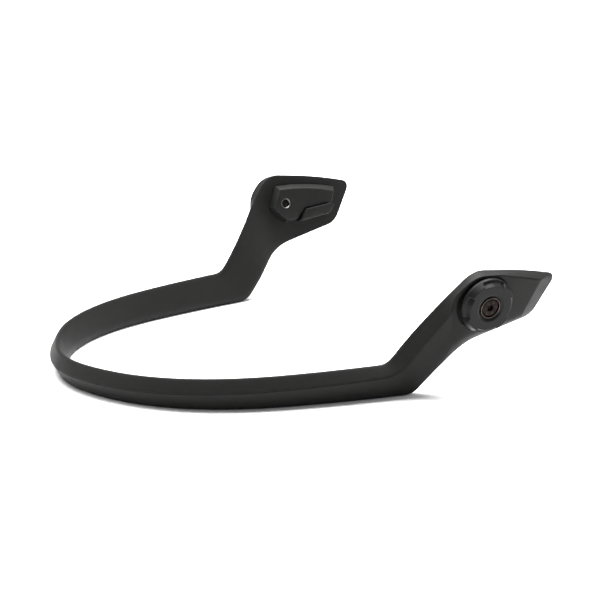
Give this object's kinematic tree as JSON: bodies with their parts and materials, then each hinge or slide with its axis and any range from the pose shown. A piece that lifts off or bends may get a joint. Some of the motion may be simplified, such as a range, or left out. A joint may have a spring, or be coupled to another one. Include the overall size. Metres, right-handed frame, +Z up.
{
  "type": "helmet chin guard",
  "caption": "U-shaped moulded chin guard bar with kinked arms; each side plate has a captive lobed thumb screw outside and a locating block with hook rail inside.",
  "frame": {"origin": "middle of the guard's bounding box in plan, on the flat underside that it stands on", "axes": "+Z up, -X towards the chin end of the bar, +X towards the open end and the plates, +Y towards the wearer's left plate"},
  "size_m": [0.212, 0.2318, 0.0609],
  "materials": {
    "moulded_black": "finely grained matte moulding",
    "block_black": "finely grained matte moulding",
    "knob_black": "semi-gloss moulding",
    "blackened_screw": "blackened steel",
    "bronzed_ring": "thin bronzed ring",
    "steel": "plain turned or stamped steel",
    "nylon": "natural nylon",
    "seal_rubber": "matte rubber"
  },
  "bodies": {
    "guard": {"guard_body": "moulded_black", "core_strap": "steel", "left_locating_block": "block_black", "left_hook_rail": "block_black", "left_bushing": "steel", "left_wave_washer": "steel", "right_locating_block": "block_black", "right_hook_rail": "block_black", "right_bushing": "steel", "right_wave_washer": "steel"},
    "left_carrier": {"left_thrust_washer": "nylon"},
    "left_knob_set": {"left_knob": "knob_black", "left_head_ring": "bronzed_ring", "left_screw": "blackened_screw", "left_o_ring": "seal_rubber", "left_retaining_ring": "steel"},
    "right_carrier": {"right_thrust_washer": "nylon"},
    "right_knob_set": {"right_knob": "knob_black", "right_head_ring": "bronzed_ring", "right_screw": "blackened_screw", "right_o_ring": "seal_rubber", "right_retaining_ring": "steel"}
  },
  "joints": [
    {"name": "left_knob_feed", "type": "slide", "parent": "guard", "child": "left_carrier", "axis": [-0.0173, -0.9809, 0.1939], "range_m": [0, 0.0024]},
    {"name": "left_knob_turn", "type": "hinge", "parent": "left_carrier", "child": "left_knob_set", "pos_m": [0.06395, 0.10242, 0.0464], "axis": [-0.0173, -0.9809, 0.1939], "range_deg": [0, 1080]},
    {"name": "right_knob_feed", "type": "slide", "parent": "guard", "child": "right_carrier", "axis": [-0.0173, 0.9809, 0.1939], "range_m": [0, 0.0024]},
    {"name": "right_knob_turn", "type": "hinge", "parent": "right_carrier", "child": "right_knob_set", "pos_m": [0.06395, -0.10242, 0.0464], "axis": [-0.0173, 0.9809, 0.1939], "range_deg": [0, 1080]}
  ],
  "couplings": [
    {"joint": "left_knob_feed", "follows": "left_knob_turn", "m_per_rad": 0.00012732},
    {"joint": "right_knob_feed", "follows": "right_knob_turn", "m_per_rad": 0.00012732}
  ]
}
